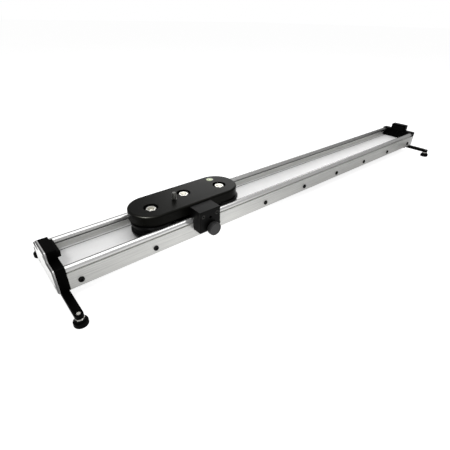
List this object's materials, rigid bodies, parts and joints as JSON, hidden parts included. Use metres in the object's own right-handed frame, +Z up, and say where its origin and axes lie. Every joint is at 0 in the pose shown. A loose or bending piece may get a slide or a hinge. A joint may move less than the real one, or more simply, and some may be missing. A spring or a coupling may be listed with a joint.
{
  "type": "camera slider",
  "caption": "Long camera slider: a grooved-wheel carriage with stud and level runs on two round rods over a flat rail with swing-out levelling legs.",
  "frame": {"origin": "middle of the rail's length and width, on the rail's flat underside", "axes": "+X along the rail from the end the carriage stands near towards the far end, +Y from the rail-lock side to the rear side, +Z up, out of the carriage plate"},
  "size_m": [1.231, 0.245, 0.1077],
  "materials": {
    "brushed_aluminium": "brushed along the rail, clear anodised",
    "polished_rod": "ground and polished",
    "black_aluminium": "black satin anodised",
    "plate_black": "black satin anodised, fine matt",
    "black_steel": "black oxide",
    "bright_steel": "bright zinc plated",
    "bearing_steel": "ground",
    "black_rubber": "matt",
    "wheel_nylon": "turned, matt",
    "knob_plastic": "moulded, matt",
    "nylon_pad": "plain",
    "brass_insert": "turned",
    "vial_green": "clear tinted",
    "cup_white": "gloss"
  },
  "bodies": {
    "rail": {"base_plate": "brushed_aluminium", "side_rail_front": "brushed_aluminium", "side_rail_rear": "brushed_aluminium", "guide_rod_front": "polished_rod", "guide_rod_rear": "polished_rod", "side_bolts_front": "black_steel", "side_bolts_rear": "black_steel", "end_block_left": "black_aluminium", "end_block_right": "black_aluminium", "end_plate_left": "brushed_aluminium", "end_plate_right": "brushed_aluminium", "end_screws_left": "black_steel", "end_screws_right": "black_steel", "bumper_left": "black_rubber", "bumper_right": "black_rubber", "tripod_socket_large": "brass_insert", "tripod_sockets_small": "brass_insert", "leg_pivot_washers": "bright_steel", "leg_pivot_bolts": "black_steel"},
    "leg_front_left": {"leg_arm_front_left": "black_aluminium", "foot_lock_nut_front_left": "bright_steel"},
    "foot_front_left": {"foot_stem_front_left": "bright_steel", "foot_pad_front_left": "black_rubber"},
    "leg_front_right": {"leg_arm_front_right": "black_aluminium", "foot_lock_nut_front_right": "bright_steel"},
    "foot_front_right": {"foot_stem_front_right": "bright_steel", "foot_pad_front_right": "black_rubber"},
    "leg_rear_left": {"leg_arm_rear_left": "black_aluminium", "foot_lock_nut_rear_left": "bright_steel"},
    "foot_rear_left": {"foot_stem_rear_left": "bright_steel", "foot_pad_rear_left": "black_rubber"},
    "leg_rear_right": {"leg_arm_rear_right": "black_aluminium", "foot_lock_nut_rear_right": "bright_steel"},
    "foot_rear_right": {"foot_stem_rear_right": "bright_steel", "foot_pad_rear_right": "black_rubber"},
    "carriage": {"carriage_plate": "plate_black", "axle_bolts": "bright_steel", "axle_lower_washers": "bright_steel", "axle_spacers": "bright_steel", "eccentric_bush": "bright_steel", "axle_washers": "black_steel", "axle_nuts": "bright_steel", "camera_stud": "black_steel", "level_cup": "cup_white", "level_vial": "vial_green", "lock_block": "black_aluminium", "block_screws": "black_steel"},
    "wheel_left_body": {"wheel_left": "wheel_nylon", "wheel_bearings_left": "bearing_steel"},
    "wheel_middle_body": {"wheel_middle": "wheel_nylon", "wheel_bearings_middle": "bearing_steel"},
    "wheel_right_body": {"wheel_right": "wheel_nylon", "wheel_bearings_right": "bearing_steel"},
    "lock_handle": {"lock_knob": "knob_plastic", "lock_screw": "bright_steel"},
    "brake": {"brake_shoe": "nylon_pad"}
  },
  "joints": [
    {"name": "carriage_slide", "type": "slide", "parent": "rail", "child": "carriage", "axis": [1, 0, 0], "range_m": [-0.132, 0.7945]},
    {"name": "wheel_left_spin", "type": "hinge", "parent": "carriage", "child": "wheel_left_body", "pos_m": [-0.4151, -0.007, 0.037], "axis": [0, 0, 1], "range_deg": [-1360, 240]},
    {"name": "wheel_middle_spin", "type": "hinge", "parent": "carriage", "child": "wheel_middle_body", "pos_m": [-0.3315, 0.007, 0.037], "axis": [0, 0, 1], "range_deg": [-240, 1360]},
    {"name": "wheel_right_spin", "type": "hinge", "parent": "carriage", "child": "wheel_right_body", "pos_m": [-0.2479, -0.007, 0.037], "axis": [0, 0, 1], "range_deg": [-1360, 240]},
    {"name": "lock_knob_turn", "type": "hinge", "parent": "carriage", "child": "lock_handle", "pos_m": [-0.323, -0.085, 0.0265], "axis": [0, 1, 0], "range_deg": [0, 115]},
    {"name": "brake_shoe_slide", "type": "slide", "parent": "carriage", "child": "brake", "axis": [0, 1, 0], "range_m": [0, 0.0005]},
    {"name": "leg_front_left_swing", "type": "hinge", "parent": "rail", "child": "leg_front_left", "pos_m": [-0.604, -0.034, -0.005], "axis": [0, 0, 1], "range_deg": [-30, 90]},
    {"name": "foot_front_left_level", "type": "slide", "parent": "leg_front_left", "child": "foot_front_left", "axis": [0, 0, 1], "range_m": [-0.006, 0]},
    {"name": "leg_front_right_swing", "type": "hinge", "parent": "rail", "child": "leg_front_right", "pos_m": [0.604, -0.034, -0.005], "axis": [0, 0, 1], "range_deg": [-90, 30]},
    {"name": "foot_front_right_level", "type": "slide", "parent": "leg_front_right", "child": "foot_front_right", "axis": [0, 0, 1], "range_m": [-0.006, 0]},
    {"name": "leg_rear_left_swing", "type": "hinge", "parent": "rail", "child": "leg_rear_left", "pos_m": [-0.604, 0.034, -0.005], "axis": [0, 0, 1], "range_deg": [-90, 30]},
    {"name": "foot_rear_left_level", "type": "slide", "parent": "leg_rear_left", "child": "foot_rear_left", "axis": [0, 0, 1], "range_m": [-0.006, 0]},
    {"name": "leg_rear_right_swing", "type": "hinge", "parent": "rail", "child": "leg_rear_right", "pos_m": [0.604, 0.034, -0.005], "axis": [0, 0, 1], "range_deg": [-30, 90]},
    {"name": "foot_rear_right_level", "type": "slide", "parent": "leg_rear_right", "child": "foot_rear_right", "axis": [0, 0, 1], "range_m": [-0.006, 0]}
  ],
  "couplings": [
    {"joint": "wheel_left_spin", "follows": "carriage_slide", "rad_per_m": -29.542},
    {"joint": "wheel_middle_spin", "follows": "carriage_slide", "rad_per_m": 29.542},
    {"joint": "wheel_right_spin", "follows": "carriage_slide", "rad_per_m": -29.542},
    {"joint": "brake_shoe_slide", "follows": "lock_knob_turn", "m_per_rad": 0.0002}
  ]
}
